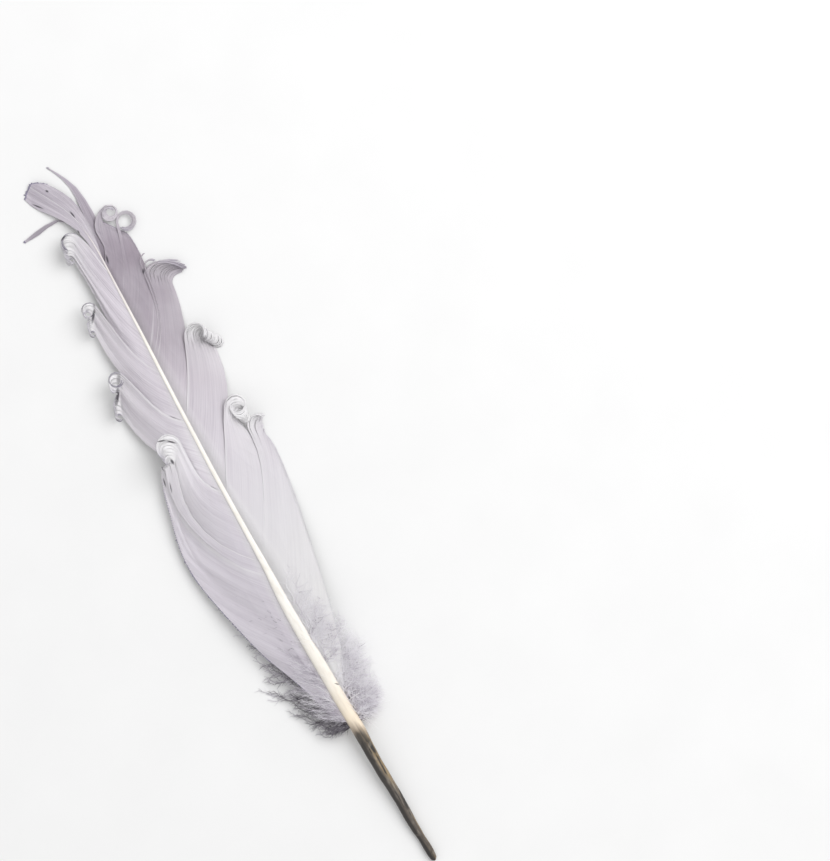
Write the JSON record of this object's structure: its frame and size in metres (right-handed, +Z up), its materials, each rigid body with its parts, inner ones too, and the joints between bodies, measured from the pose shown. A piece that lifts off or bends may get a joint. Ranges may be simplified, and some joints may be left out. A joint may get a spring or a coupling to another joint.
{
  "type": "goose quill feather",
  "caption": "Goose wing feather with a bare dark quill, a white shaft and a pale grey vane parted into curled locks, lying with its outer face up.",
  "frame": {"origin": "on the surface that the feather lies on, under the middle of its bounding box", "axes": "+X from the quill end to the tip, +Y towards the narrow side of the vane, +Z up"},
  "size_m": [0.2316, 0.0456, 0.0105],
  "materials": {
    "quill_horn": "satin",
    "vane": "matte",
    "down": "matte"
  },
  "bodies": {
    "root": {"shaft": "quill_horn", "left_lock_1": "vane", "left_lock_2": "vane", "left_lock_3": "vane", "left_lock_4": "vane", "left_lock_5": "vane", "right_lock_1": "vane", "right_lock_2": "vane", "right_lock_3": "vane", "right_lock_4": "vane", "right_lock_5": "vane", "tip_tuft": "vane", "left_wisp": "vane", "right_wisp": "vane", "left_down": "down", "right_down": "down"}
  },
  "joints": []
}
